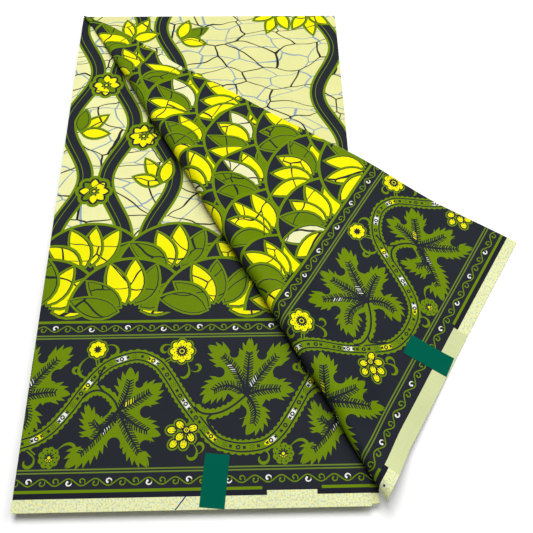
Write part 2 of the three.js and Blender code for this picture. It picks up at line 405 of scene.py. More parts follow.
SCROLL_PITCH = 11.4  # from a crest to the next trough
SCROLL_SWAY = 2.9
SCROLL_CURL = (3.1, 1.4)  # a curl's radius at its start and at its end
SCROLL_TURNS = (38, -230)  # its headings there, in degrees
CURL_SHIFT = 0.8  # how far its middle lies from the band's, away from its crest
CURL_HEIGHT = 0.92  # as a share of its width
WHITE_EVERY = 3
# Widths of the lines: the wave, a curl from its start to its end, and a white hook laid over it
WAVE_LINE, CURL_LINE, HOOK_LINE = 1.05, (0.8, 1.3), (0.9, 1.5)
HOOK_FROM = 3  # the first of a curl's points that a white hook takes up


def running_scroll(target, centre, phase):
    """A wave with a spiral coiled in each hollow; every third spiral is a white comma."""
    first, last = target.span()
    along = np.arange(first - BLEED, last + BLEED, SCROLL_PITCH / 9)
    wave = np.column_stack([along, centre + SCROLL_SWAY * np.cos(np.pi * (along - phase) / SCROLL_PITCH)])
    stroke(target, wave, WAVE_LINE, "olive")
    part = np.linspace(0, 1, 20)
    radius = SCROLL_CURL[0] + (SCROLL_CURL[1] - SCROLL_CURL[0]) * part**0.8
    angle = np.radians(SCROLL_TURNS[0] + (SCROLL_TURNS[1] - SCROLL_TURNS[0]) * part)
    spiral = np.column_stack([radius * np.cos(angle), radius * CURL_HEIGHT * np.sin(angle)])
    for k in range(int((first - phase) / SCROLL_PITCH) - 1, int((last - phase) / SCROLL_PITCH) + 2):
        side = -1 if k % 2 else 1  # spirals under the crests coil downwards, those over the troughs upwards
        line = spiral * (1, side) + (phase + k * SCROLL_PITCH, centre - side * CURL_SHIFT)
        stroke(target, line, CURL_LINE[0], "olive", CURL_LINE[1])
        dot(target, line[-1], 0.85, "olive")
        if k % WHITE_EVERY == 0:
            stroke(target, line[HOOK_FROM:], HOOK_LINE[0], "white", HOOK_LINE[1])
            dot(target, line[-1], 1.0, "white")


def draw_bands(target):
    stripe(target, -BLEED, BORDER_TOP, "navy")
    stripe(target, -BLEED, MARGIN_TOP + 0.5, "margin")
    stripe(target, -BLEED, SELVEDGE_TOP, "selvedge")
    for low, high in (*LOW_LINES, *HIGH_LINES, FIELD_LINE):
        stripe(target, low, high, "line" if high - low < 2 else "olive")
    running_scroll(target, *LOW_SCROLL)
    running_scroll(target, *HIGH_SCROLL)


# ---------------------------------------------------------------- the border's vine
VINE_REPEAT = 204.0
REPEATS = (-VINE_REPEAT, 0, VINE_REPEAT)
VINE = [
    (-36, 62), (-22, 53), (-10, 52), (0, 57), (12, 61), (25, 70), (38, 86), (50, 105), (62, 121), (75, 131),
    (97, 137), (115, 130), (126, 117), (140, 95), (155, 75), (170, 58), (185, 52), (200, 51), (215, 54),
    (228, 64), (240, 81), (252, 101), (264, 119), (279, 131), (301, 137), (319, 130), (330, 117), (344, 95),
    (359, 75), (374, 58),
]
VINE_HALF = 5.1
SCALLOP = 1.9
SCALLOP_PITCH = 5.6
VEIN_PLACE = 3.7  # of the vine's two dark lines, from its middle
VEIN_WIDTH = 1.35
MARK_PITCH = 6.1
MARKS = ("cross", "ring", "cross", "dots")
# Bright stretches of the vine in one repeat: place, and the inks of its two halves
BRIGHT_STRETCHES = [
    ((13, 61), "white", "yellow"), ((34, 80), "white", "white"), ((54, 109), "yellow", "white"),
    ((82, 134), "white", "white"), ((112, 132), "yellow", "white"), ((143, 91), "white", "white"),
    ((167, 61), "yellow", "yellow"),
]
BRIGHT_HALF = 6.6
BRIGHT_CLEAR = 1.6  # how far the vine's own marks keep from a bright stretch
BRIGHT_MARKS = ((-4.4, "cross"), (0.0, "ring"), (4.4, "cross"))


def scalloped(target, line, half):
    """A leafy band with small round scallops along both edges."""
    reach = half + SCALLOP * np.abs(np.sin(np.pi * lengths(line) / SCALLOP_PITCH)) ** 0.7
    target.paint(band(line, reach, reach), "olive")


def vine_mark(target, centre, along, kind, ground):
    """A small dark mark inside the vine: a cross, a ring or a group of dots."""
    aside = turned_left(along)
    if kind == "cross":
        for slant in (1, -1):
            arm = (along + slant * aside) * 1.2
            thick = (along - slant * aside) * 0.44
            corners = [-arm - thick, arm - thick, arm + thick, thick - arm]
            target.paint([centre + corner for corner in corners], "navy")
    elif kind == "ring":
        dot(target, centre, 2.15, "navy")
        dot(target, centre, 0.95, ground, 8)
    else:
        for a, b in ((0, 0), (1.6, 1.1), (-1.6, 1.1), (1.6, -1.1), (-1.6, -1.1), (0, 2.0), (0, -2.0)):
            dot(target, centre + along * a + aside * b, 0.56, "navy", 4)


def bright_stretch(target, line, run, at, inks):
    """A rounded bright stretch inside the vine, in two inks, round the place so far along it."""
    for (start, end), ink in zip(((-1, 0.15), (-0.1, 1)), inks):
        part = (run > at + start * BRIGHT_HALF) & (run < at + end * BRIGHT_HALF)
        if part.sum() > 2:
            off = np.abs(run[part] - at) / BRIGHT_HALF
            half = 2.2 * np.sqrt(np.clip(1.12 - off**3, 0.1, 1))
            target.paint(band(line[part], half, half), ink)


def draw_vine(target):
    line = smooth_line(VINE, 1.3)
    scalloped(target, line, VINE_HALF)
    for side in (1, -1):
        stroke(target, line + side_vectors(line) * (side * VEIN_PLACE), VEIN_WIDTH, "navy")
    run, heading = lengths(line), headings(line)
    marks, middles = [], []
    for shift in REPEATS:
        for place, *inks in BRIGHT_STRETCHES:
            away = np.hypot(*(line - np.array(place) - (shift, 0)).T)
            if away.min() > BRIGHT_HALF:
                continue
            at = run[away.argmin()]
            bright_stretch(target, line, run, at, inks[::-1] if shift else inks)
            middles.append(at)
            marks += [(at + step, kind, inks[0]) for step, kind in BRIGHT_MARKS]
    for number, at in enumerate(np.arange(4, run[-1] - 4, MARK_PITCH)):
        if all(abs(at - middle) > BRIGHT_HALF + BRIGHT_CLEAR for middle in middles):
            marks.append((at, MARKS[number % len(MARKS)], "olive"))
    for at, kind, ground in marks:
        k = min(int(np.searchsorted(run, at)), len(line) - 1)
        vine_mark(target, line[k], heading[k], kind, ground)


# ---------------------------------------------------------------- the border's leaves and flowers
def lobe_axis(hub, tip, bend):
    """A curved axis from the hub to a lobe's tip; bend is its bow, as a share of its length."""
    control = (hub + tip) / 2 + bend * turned_left(tip - hub)
    t = np.linspace(0, 1, 60)[:, None]
    return (1 - t) ** 2 * hub + 2 * t * (1 - t) * control + t**2 * tip


def points_at(at, along, line):
    """The line's own points, or any values that go with them, at the places called at."""
    return np.column_stack([np.interp(at, along, values) for values in line.T])


TOOTH_PITCH = 5.7
# A tooth's outline: place along it, how far out, and how far it leans towards the lobe's tip
TOOTH = ((0.0, -0.9, 0.0), (0.3, 0.5, 0.1), (0.62, 2.2, 0.9), (0.88, 4.2, 2.0), (0.96, 1.2, 0.6))
TIP_TOOTH = 3.6
LOBE_NECK = 0.42  # width at the hub, as a share of the fullest width
LOBE_END = 0.62  # where the lobe starts to narrow to its tip, as a share of the length
LOBE_POINT = 1.35  # 1 is a round end, more is pointed
TEETH_FROM = 0.36


def toothed_lobe(target, axis, width):
    """A lobe with a narrow neck and a pointed end, and curved teeth that lean towards its tip."""
    shares = np.linspace(0, LOBE_END, 20)
    turn = np.radians(np.arange(9, 91, 9))
    at = np.concatenate([shares, LOBE_END + (1 - LOBE_END) * np.sin(turn)])
    swell = LOBE_NECK + (1 - LOBE_NECK) * smooth_step(shares / LOBE_END)
    half = width / 2 * np.concatenate([swell, np.cos(turn) ** LOBE_POINT])
    along = np.linspace(0, 1, len(axis))
    middle, aside = points_at(at, along, axis), points_at(at, along, side_vectors(axis))
    sides = []
    for side in (1, -1):
        edge = middle + side * aside * half[:, None]
        run = lengths(edge)
        first = run[np.searchsorted(at, TEETH_FROM)]
        count = max(3, round((run[-1] - first) / TOOTH_PITCH))
        part, reach, lean = np.tile(TOOTH, (count, 1)).T
        spots = first + (np.repeat(np.arange(count), len(TOOTH)) + part) * (run[-1] - first) / count
        place, forward = points_at(spots, run, edge), points_at(spots, run, headings(edge))
        out = side * turned_left(forward)
        sides.append(np.vstack([edge[:1], place + reach[:, None] * out + lean[:, None] * forward]))
    tip = axis[-1] + TIP_TOOTH * unit(axis[-1] - axis[-2])
    target.paint(np.vstack([sides[0], [tip], sides[1][::-1]]), "olive")


SPINE_REACH = 0.78  # how far a lobe's spine goes, as a share of its axis
SPINE_WIDTHS = (3.0, 1.2)  # at the hub and at its end
BARB_PITCH = 2.45
BARB_LENGTH = 5.6
BARB_HALF = 0.8
BRIGHT_GAPS = 4


def fishbone(target, axis, bright):
    """A dark spine with barbs on both sides. bright, if given, is the ink of a few gaps between them on one
    side, and the barb that these start at."""
    run, aside = lengths(axis), side_vectors(axis)
    last = int(SPINE_REACH * (len(axis) - 1))
    stroke(target, axis[: last + 1], SPINE_WIDTHS[0], "navy", SPINE_WIDTHS[1])

    def barb(at, side, ink, share):
        i = min(int(np.searchsorted(run, at)), last)
        forward = -turned_left(aside[i])
        length = share * BARB_LENGTH * math.sin(math.pi * (0.3 + 0.5 * at / run[last])) ** 0.8
        tip = axis[i] + (side * aside[i] * 0.86 + forward * 0.5) * length
        thick = forward * BARB_HALF
        target.paint([axis[i] - thick, axis[i] + thick, tip + thick * 0.8, tip - thick * 0.8], ink)

    places = np.arange(3.0, run[last], BARB_PITCH)
    if bright:
        ink, first = bright
        for at in places[first:first + BRIGHT_GAPS]:
            barb(at + BARB_PITCH / 2, 1, ink, 0.8)
    for at in places:
        for side in (1, -1):
            barb(at, side, "navy", 1.0)


# Lobed leaves: each lobe's tip from the hub, its width, its bow, and its bright gaps (see fishbone). In the
# order of their directions, so that the leaf's body joins them.
LOW_LEAF = [
    ((8, 36), 19, -0.16, None), ((35, 22), 22, -0.06, ("yellow", 1)), ((35, -22), 20, -0.14, None),
    ((27, -47), 20, -0.05, None), ((-39, -47), 22, 0.05, ("white", 4)), ((-28, 2), 18, 1.25, None),
]
HIGH_LEAF = [
    ((-32, 46), 23, -0.2, ("white", 8)), ((4, 51), 17, 0.0, None), ((38, 46), 22, 0.06, ("white", 2)),
    ((40, 4), 19, 0.15, None), ((2, -33), 20, 0.42, None), ((-37, -4), 20, -0.6, None),
]
# The dark round bites between the lobes: place from the hub, radius, and heading of a mouth that opens it
LOW_BITES = [((17, 24), 3.8, 55), ((25, -2), 5.8, 0), ((26, -32), 5.0, -30), ((-2, -30), 5.8, -75),
             ((-27, -28), 5.0, 175), ((-14, 1), 6.4, None), ((-12, 9), 5.4, None), ((-23, 8), 4.8, None)]
HIGH_BITES = [((-11, 40), 4.4, 100), ((15, 38), 4.8, 72), ((31, 21), 6.4, 25), ((26, -10), 6.6, -30),
              ((-5, -16), 5.4, None), ((-18, -8), 4.0, None), ((-25, 22), 5.2, 165)]
# A leaf on each side of the vine: its hub, its lobes and its bites
LEAVES = (((83, 86), LOW_LEAF, LOW_BITES), ((198, 98), HIGH_LEAF, HIGH_BITES))
BITE_MOUTH = (2.6, 0.6, 1.35)  # how far it runs outwards, and its half widths at its two ends, in radii
BODY_REACH = 0.6  # how far along its lobes a leaf's body goes


def leaf_axes(hub, lobes):
    hub = np.array(hub, float)
    return [(lobe_axis(hub, hub + np.array(tip), bend), width, ink) for tip, width, bend, ink in lobes]


def lobed_leaf(target, hub, lobes, bites):
    axes = leaf_axes(hub, lobes)
    target.paint([axis[int(BODY_REACH * len(axis))] for axis, _, _ in axes], "olive")
    for axis, width, _ in axes:
        toothed_lobe(target, axis, width)
    for place, radius, heading in bites:
        centre = np.array(hub, float) + place
        dot(target, centre, radius, "navy", 14)
        if heading is not None:
            reach, inner, outer = np.array(BITE_MOUTH) * radius
            away = heading_vector(heading)
            aside, mouth = turned_left(away), centre + away * reach
            target.paint([centre - aside * inner, mouth - aside * outer, mouth + aside * outer,
                          centre + aside * inner], "navy")


def leaf_veins(target, hub, lobes):
    for axis, _, ink in leaf_axes(hub, lobes):
        fishbone(target, axis, ink)


# Branches from the vine to the leaves: centre line, and the fork that joins the vine's other line to it
LOW_BRANCH = [(49, 97), (56, 103), (64, 104.5), (72, 101), (79, 94), (83, 86)]
LOW_FORK = [(66, 125), (63, 117), (63.5, 109), (68, 103.5)]
HIGH_BRANCH = [(151, 88), (157, 82.5), (166, 81), (176, 83), (187, 89), (198, 98)]
HIGH_FORK = [(171, 63), (165, 71), (163, 77), (167, 81)]
BRANCHES = ((LOW_BRANCH, LOW_FORK), (HIGH_BRANCH, HIGH_FORK))
BRANCH_HALF = 3.3
BRANCH_LINE = 1.8  # width of its dark middle
JOINT_RADIUS = 3.4  # where the fork meets the branch

# The rings of petals that make up a flower, from the outermost: see petal_rings
SMALL_FLOWER = ((10.3, 8, 0.12, "olive"), (9.0, 8, 0.14, "navy"), (8.0, 8, 0.18, "yellow"),
                (3.8, 9, 0.4, "navy"))
LARGE_FLOWER = ((13.6, 8, 0.16, "olive"), (12.2, 8, 0.18, "navy"), (11.1, 8, 0.22, "yellow"))


def small_flower(target, centre):
    petal_rings(target, centre, SMALL_FLOWER)


def large_flower(target, centre):
    petal_rings(target, centre, LARGE_FLOWER)
    for k in range(16):
        reach = 8.6 if k % 2 else 7.0
        dot(target, centre + reach * heading_vector(22.5 * (k + 0.5)), 0.65, "navy", 5)
    petal_rings(target, centre, [(5.8, 14, 0.3, "navy")])
    dot(target, centre, 2.5, "yellow", 12)
    dot(target, centre, 1.8, "navy")


def dotted_flower(target, centre):
    petal_rings(target, centre, [(9.6, 9, 0.14, "olive")])
    for k in range(10):
        along = heading_vector(36 * k)
        dot(target, centre + along * 6.8, 0.75, "navy", 6)
        target.paint(pointed_oval(centre + along, centre + along * 5.3, 1.5), "navy")
    for turn in (216, 252, 288, 324):
        along = heading_vector(turn)
        target.paint(pointed_oval(centre + along, centre + along * 4.0, 0.8), "yellow")
    dot(target, centre, 2.3, "navy")
    dot(target, centre, 1.4, "yellow", 8)


BERRY_EYE = (4.6, 3.0)  # the ring that the berries hang from
BERRY_SIZE = (3.7, 2.8)  # half length and half width
BERRIES = np.array([
    (-1.2, 7.6), (-8.5, 3.0), (-1.2, -2.8), (-6.5, -9.0), (2.4, -9.4), (8.6, -3.6), (10.2, 4.6),
])


def berry_cluster(target, centre):
    """Round berries about a ring that they hang from."""
    eye = centre + BERRY_EYE
    half_length, half_width = BERRY_SIZE
    for grow, ink in ((2.6, "olive"), (1.3, "navy"), (0.0, "yellow")):
        for spot in centre + BERRIES:
            target.paint(oval(spot, unit(spot - eye), half_length + grow, half_width + grow), ink)
        dot(target, eye, 2.6 + grow, "navy" if ink == "yellow" else ink)
    for spot in centre + BERRIES:
        along = unit(spot - eye)
        aside = turned_left(along)
        for shift in (-1.0, 1.0):
            root = spot + aside * shift - along * 3.6
            target.paint([root - aside * 0.55, root + aside * 0.55, root + along * 3.9], "navy")
            dot(target, spot + aside * shift + along * 1.5, 0.55, "navy", 5)
    dot(target, eye, 2.2, "yellow", 12)
    dot(target, eye, 1.5, "navy", 10)
    dot(target, eye, 0.6, "yellow", 6)


# Stems between the vine and its flowers
STEMS = [[(59, 136), (61, 128)], [(128, 134), (118, 128)], [(146, 71), (151, 77)], [(217, 47), (211, 52)]]
STEM_LINES = ((3.6, "olive"), (1.4, "navy"))
# Each tendril: its root, heading, length, bend and how the bend tightens
TENDRILS = [
    ((66, 147), 25, 25, -0.28, -0.42), ((53, 138), 215, 30, 0.05, 0.42), ((47, 124), 240, 18, -0.35, -0.5),
    ((129, 146), 150, 20, 0.2, 0.55), ((143, 131), 285, 22, 0.15, -0.6), ((147, 122), 330, 17, 0.3, 0.42),
    ((150, 56), 310, 24, -0.05, -0.6), ((155, 46), 20, 17, 0.25, 0.45), ((31, 50), 45, 24, 0.05, -0.55),
    ((39, 56), 20, 16, -0.2, -0.4), ((212, 50), 330, 26, -0.3, -0.5),
]
FLOWERS = ((small_flower, (59, 144)), (large_flower, (138, 141)), (dotted_flower, (26, 45)),
           (berry_cluster, (140, 64)))


def shifted(points, shift):
    """The points moved along the leaf, for the next repeat of the border."""
    return np.array(points, float) + (shift, 0)


def draw_border(target):
    draw_bands(target)
    for shift in REPEATS:
        for hub, lobes, bites in LEAVES:
            lobed_leaf(target, shifted(hub, shift), lobes, bites)
        for points, _ in BRANCHES:
            scalloped(target, smooth_line(shifted(points, shift), 1.5), BRANCH_HALF)
        for ends in STEMS:
            for width, ink in STEM_LINES:
                stroke(target, smooth_line(shifted(ends, shift)), width, ink)
        for root, *curl in TENDRILS:
            tendril(target, shifted(root, shift), *curl)
    draw_vine(target)
    for shift in REPEATS:
        for points, fork in BRANCHES:
            dot(target, shifted(points[1], shift), JOINT_RADIUS, "olive", 12)
            for ends in (points, fork):
                stroke(target, smooth_line(shifted(ends, shift), 1.5), BRANCH_LINE, "navy")
        for hub, lobes, _ in LEAVES:
            leaf_veins(target, shifted(hub, shift), lobes)
        for draw, place in FLOWERS:
            draw(target, shifted(place, shift))


# ---------------------------------------------------------------- the field
FIELD_LEAF_INKS = ("leaf_yellow",) * 7 + ("leaf_olive",) * 4 + ("leaf_cream",)


def outlined_leaf(target, base, tip, width, ink, lean=0.0):
    """A leaf with an olive halo and a dark line round its bright middle."""
    along = unit(tip - base)
    for grow, paint in ((3.4, "olive"), (1.0, "navy"), (0.0, ink)):
        outline = pointed_oval(base - along * grow, tip + along * grow * 1.2, width + 2 * grow, lean)
        target.paint(outline, paint)


FAN_RADIUS = 59.0
FAN_PITCH = 86.0
FAN_RISE = 41.0  # from one row to the next
FAN_BLADES = 7
FAN_SIDES = (2, 178)  # headings of a fan's two sides, in degrees
BLADE_WIDTH = 0.72  # as a share of the room that a blade has


def fan(target, centre, chance):
    """Blades that spread from a centre, on a dark ground with an olive rim."""
    start, end = FAN_SIDES
    angles = np.radians(np.linspace(start, end, 26))
    for grow, ink in ((3.6, "olive"), (0.6, "navy")):
        rim = spokes(angles) * (FAN_RADIUS + grow)
        target.paint(np.vstack([centre + rim, [centre]]), ink)
    for k in range(FAN_BLADES):
        along = heading_vector(start + (end - start) * (k + 0.5) / FAN_BLADES + chance.uniform(-3, 3))
        reach = FAN_RADIUS * chance.uniform(0.9, 1.02)
        width = BLADE_WIDTH * reach * math.radians(end - start) / FAN_BLADES
        ink = chance.choice(FIELD_LEAF_INKS)
        lean = chance.uniform(-0.12, 0.12)
        outlined_leaf(target, centre + along * FAN_RADIUS * 0.22, centre + along * reach, width, ink, lean)


def fan_rows(target, low, rows, chance):
    """Rows of fans that overlap as scales do, the lowest in front."""
    first, last = target.span()
    for row in reversed(range(rows)):
        shift = FAN_PITCH / 2 if row % 2 else 0
        for k in range(int(first / FAN_PITCH) - 1, int(last / FAN_PITCH) + 2):
            fan(target, np.array([k * FAN_PITCH + shift, low + row * FAN_RISE]), chance)


RIBBON_WIDTH = 11.0
RIBBON_SWAY = 13.0
RIBBON_PITCH = 150.0
RIBBON_ENDS = (200, 590)


def ribbon(target, middle, phase):
    """A dark band that sways up the field, with an olive rim and one thin line inside."""
    v = np.arange(*RIBBON_ENDS, 5.0)
    line = np.column_stack([middle + RIBBON_SWAY * np.sin(2 * np.pi * (v - phase) / RIBBON_PITCH), v])
    for grow, ink in ((3.6, "olive"), (0.9, "navy"), (0.0, "navy")):
        target.paint(band(line, RIBBON_WIDTH / 2 + grow, RIBBON_WIDTH / 2 + grow), ink)
    stroke(target, line + side_vectors(line) * RIBBON_WIDTH * 0.22, 0.7, "olive")


SPRIG_SIZE = 34.0


def sprig(target, centre, heading, chance):
    """Three leaves from one point."""
    for spread, share in ((0, 1.0), (42, 0.82), (-42, 0.82)):
        along = heading_vector(heading + spread)
        ink = chance.choice(FIELD_LEAF_INKS)
        start = np.array(centre) + along * SPRIG_SIZE * 0.12
        outlined_leaf(target, start, start + along * SPRIG_SIZE * share, SPRIG_SIZE * 0.36, ink)


ROSETTE_RADIUS = 15.0
ROSETTE_PETALS = 8


def rosette(target, centre, chance):
    """A round flower of pointed petals on a dark ground."""
    for grow, depth, ink in ((5, 0.12, "olive"), (1.6, 0.2, "navy")):
        target.paint(round_petals(centre, ROSETTE_RADIUS + grow, ROSETTE_PETALS, depth, 8), ink)
    for k in range(ROSETTE_PETALS):
        along = heading_vector(360 * k / ROSETTE_PETALS) * ROSETTE_RADIUS
        ink = "leaf_yellow" if k % 2 == 0 else chance.choice(("leaf_yellow", "leaf_olive"))
        target.paint(pointed_oval(centre + along * 0.3, centre + along, ROSETTE_RADIUS * 0.5), ink)
    for share, ink, corners in ((0.3, "olive", 14), (0.2, "navy", 12), (0.1, "leaf_yellow", 8)):
        dot(target, centre, ROSETTE_RADIUS * share, ink, corners)


RIBBONS = ((14, 0), (62, 75), (110, 0), (296, 40))  # middle, phase
ROSETTES = ((38, 470), (86, 395), (134, 470), (38, 322))
SPRIGS = (((62, 540), 60), ((14, 400), 40), ((110, 330), 120), ((120, 540), 30), ((240, 588), 250),
          ((276, 586), 280))  # root, heading


def draw_open_field(target, ground, chance):
    """Cream crackle ground with swaying ribbons, rosettes and sprigs."""
    stripe(target, BORDER_TOP, LEAF_LENGTH + BLEED, ground)
    for middle, phase in RIBBONS:
        ribbon(target, middle, phase)
    for centre in ROSETTES:
        rosette(target, centre, chance)
    for centre, heading in SPRIGS:
        sprig(target, centre, heading, chance)


# ---------------------------------------------------------------- meshes
INSIDE_BATCH = 4_000_000  # pairs of a point and a polygon's side


def inside(points, polygon):
    """Which points lie inside a polygon, worked out in batches that fit in memory."""
    (x0, y0), (x1, y1) = polygon.T[:, :, None], np.roll(polygon, -1, axis=0).T[:, :, None]
    run = np.where(y1 == y0, 1e-12, y1 - y0)
    found = []
    for batch in np.array_split(points, 1 + len(points) * len(polygon) // INSIDE_BATCH):
        x, y = batch.T
        crosses = ((y0 > y) != (y1 > y)) & (x < (x1 - x0) * (y - y0) / run + x0)
        found.append(crosses.sum(axis=0) % 2 == 1)
    return np.concatenate(found)


def flat_triangles(outline, shapes, lattice, ground):
    """Triangles of the flat leaf inside its outline, cut along the edges of the painted shapes, with the ink
    of each: that of the last shape painted over it."""
    loops = [outline] + [points for points, _ in shapes]
    edges, start = [], 0
    for points in loops:
        count = len(points)
        edges += [(start + i, start + (i + 1) % count) for i in range(count)]
        start += count
    points = np.vstack(loops + [lattice[inside(lattice, outline)]])
    result = delaunay_2d_cdt([Vector(p) for p in points.tolist()], edges, [], 0, 1e-4, False)
    flat = np.array([tuple(p) for p in result[0]])
    triangles = np.array(result[2])
    corners = flat[triangles]
    if np.cross(corners[:, 1] - corners[:, 0], corners[:, 2] - corners[:, 0]).sum() < 0:
        triangles = triangles[:, ::-1]
    middle = corners.mean(axis=1)
    keep = inside(middle, outline)
    triangles, middle = triangles[keep], middle[keep]
    used, triangles = np.unique(triangles, return_inverse=True)
    inks = np.full(len(middle), INK_NAMES.index(ground))
    for polygon, ink in shapes:
        low, high = polygon.min(axis=0), polygon.max(axis=0)
        near = np.flatnonzero(((middle >= low) & (middle <= high)).all(axis=1))
        inks[near[inside(middle[near], polygon)]] = ink
    return flat[used], triangles.reshape(-1, 3), inks


def rim_loop(flat, triangles, first):
    """The boundary of flat triangles as a ring of point numbers from the one nearest to first, and how far
    along the ring each lies."""
    edges = np.vstack([triangles[:, [0, 1]], triangles[:, [1, 2]], triangles[:, [2, 0]]]).tolist()
    known = set(map(tuple, edges))
    heads = {a: b for a, b in edges if (b, a) not in known}
    ring = [min(heads, key=lambda k: np.hypot(*(flat[k] - first)))]
    while heads[ring[-1]] != ring[0]:
        ring.append(heads[ring[-1]])
    if len(ring) != len(heads):
        raise RuntimeError("the leaf's rim is not one ring")
    return np.array(ring), lengths(np.vstack([flat[ring], flat[ring[:1]]]))[:-1]


def zip_rings(one, one_at, other, other_at, total):
    """Triangles between two rings of point numbers, each with its own places along the outline."""
    faces, i, j = [], 0, 0
    while i < len(one) or j < len(other):
        one_next = one_at[i + 1] if i + 1 < len(one) else total
        other_next = other_at[j + 1] if j + 1 < len(other) else total
        a, b = one[i % len(one)], other[j % len(other)]
        if j == len(other) or (i < len(one) and one_next <= other_next):
            faces.append((a, b, one[(i + 1) % len(one)]))
            i += 1
        else:
            faces.append((a, b, other[(j + 1) % len(other)]))
            j += 1
    return faces


def add_object(name, data):
    thing = bpy.data.objects.new(name, data)
    bpy.context.scene.collection.objects.link(thing)
    return thing


def mesh_piece(name, points, faces, inks, coordinates, face_normals, material):
    """A Blender mesh from triangles, with its inks as a colour attribute and its flat coordinates as UVs."""
    mesh = bpy.data.meshes.new(name)
    mesh.from_pydata(((points + LEAF_CORNER) * MM).tolist(), [], faces.tolist())
    mesh.update()
    table = np.array([(*linear(colour), 1.0) for colour, _, _ in INKS.values()])
    colours = mesh.color_attributes.new("print_colour", "FLOAT_COLOR", "CORNER")
    colours.data.foreach_set("color", np.repeat(table[inks], 3, axis=0).ravel().astype(np.float32))
    for label, column in (("crackle", 1), ("speckle", 2)):
        amounts = np.array([ink[column] for ink in INKS.values()])[inks]
        mesh.attributes.new(label, "FLOAT", "FACE").data.foreach_set("value", amounts.astype(np.float32))
    for label, values in coordinates.items():
        layer = mesh.uv_layers.new(name=label)
        layer.data.foreach_set("uv", values.reshape(-1, 2).ravel().astype(np.float32))
    mesh.polygons.foreach_set("use_smooth", np.ones(len(faces), bool))
    mesh.normals_split_custom_set(face_normals.reshape(-1, 3).tolist())
    mesh.materials.append(material)
    return add_object(name, mesh)


# The rim's profile: height from the middle of the wall, as a share of it, and how far it stands out
RIM_PROFILE = ((0.46, 0.16), (0.27, PLY_BULGE), (0.08, 0.1), (0.0, -PLY_GROOVE), (-0.08, 0.1),
               (-0.27, PLY_BULGE), (-0.46, 0.16))


class Side:
    """One face of a shell: its outline on the leaf, where its points lie, how far it is lifted off them along
    the normal, and what is painted on it."""

    def __init__(self, outline, place, lift, shapes=(), lattice=None, ground="plain"):
        lattice = grid(30.0) if lattice is None else lattice
        self.flat, self.triangles, self.inks = flat_triangles(outline, list(shapes), lattice, ground)
        spots, ups = surface(place, self.flat)
        self.spots, self.ups = spots + lift * ups, ups
        self.ring, at = rim_loop(self.flat, self.triangles, outline[0])
        steps = lengths(np.vstack([outline, outline[:1]]))
        self.ring_at = np.interp(at, steps, np.arange(len(steps)))
        owner = np.zeros(len(self.flat), int)
        owner[self.triangles.ravel()] = np.repeat(self.inks, 3)
        self.ring_inks = owner[self.ring]


def closed_shell(name, upper, lower, rings, material, ring_inks=None):
    """A closed piece: its upper and lower side, and rings between them. Ring points keep the numbering of the
    sides' outlines. ring_inks, if not given, are the inks at the sides' own edges."""
    places = np.arange(len(rings[0]))
    if ring_inks is None:
        shown = [side.ring_inks[np.searchsorted(side.ring_at, places).clip(0, len(side.ring) - 1)]
                 for side in (upper, lower)]
        ring_inks = [np.where(shown[0] == INK_NAMES.index("plain"), shown[1], shown[0])] * len(rings)
    start = len(upper.flat) + len(lower.flat)
    everything = np.vstack([upper.spots, lower.spots, *rings])
    loops = [(upper.ring, upper.ring_at)]
    loops += [(places + start + number * len(places), places) for number in range(len(rings))]
    loops.append((lower.ring + len(upper.flat), lower.ring_at))
    loop_inks = [ring_inks[0][np.round(upper.ring_at).astype(int) % len(places)], *ring_inks]
    lower_triangles = lower.triangles[:, ::-1]
    faces = [upper.triangles, lower_triangles + len(upper.flat)]
    inks = [upper.inks, lower.inks]
    normals = [upper.ups[upper.triangles], -lower.ups[lower_triangles]]
    flats = [upper.flat[upper.triangles], lower.flat[lower_triangles]]
    for one, other, one_inks in zip(loops, loops[1:], loop_inks):
        strip = np.array(zip_rings(*one, *other, len(places)))
        corners = everything[strip]
        facing = np.cross(corners[:, 1] - corners[:, 0], corners[:, 2] - corners[:, 0])
        facing /= np.maximum(1e-12, np.linalg.norm(facing, axis=1))[:, None]
        owner = dict(zip(one[0].tolist(), one_inks.tolist()))
        faces.append(strip)
        inks.append(np.array([owner[face[0]] for face in strip.tolist()]))
        normals.append(np.repeat(facing[:, None, :], 3, axis=1))
        flats.append(corners[..., :2])
    flat = np.concatenate(flats)
    # The bake's map: the upper side on the left, the lower side on the right, the rim in a strip above
    first, second = len(faces[0]), len(faces[0]) + len(faces[1])
    bake = flat * 0.9 / LEAF_LENGTH + 0.01
    bake[first:second, :, 0] += 0.5
    bake[second:] = 0.94 + 0.05 * np.clip(flat[second:] / LEAF_LENGTH, 0, 1)
    return mesh_piece(name, everything, np.vstack(faces), np.concatenate(inks),
                      {"OFBake": bake, "flat": flat * MM}, np.vstack(normals), material)


def outward(ring):
    """Unit vectors out of a ring that runs anticlockwise."""
    return -side_vectors(np.vstack([ring[-1:], ring, ring[:1]]))[1:-1]


def leaf_shell(name, place, outline, upper, lower, material):
    """A leaf of two plies; upper and lower say what is painted on each side."""
    sides = [Side(outline, place, WALL / 2, *upper), Side(outline, place, -WALL / 2, *lower)]
    ups = surface(place, outline)[1]
    rings = [place(outline + outward(outline) * stand) + ups * height * WALL for height, stand in RIM_PROFILE]
    return closed_shell(name, *sides, rings, material)


def grid(step, low=(0, 0), high=(LEAF_WIDTH, LEAF_LENGTH)):
    """Lattice points, every second row shifted, so that the cloth's soft form has points to follow."""
    rows = []
    for number, v in enumerate(np.arange(low[1] + step / 2, high[1], step * 0.87)):
        u = np.arange(low[0] + step / (2 if number % 2 else 1), high[0] - step / 3, step)
        rows.append(np.column_stack([u, np.full(len(u), v)]))
    return np.vstack(rows)


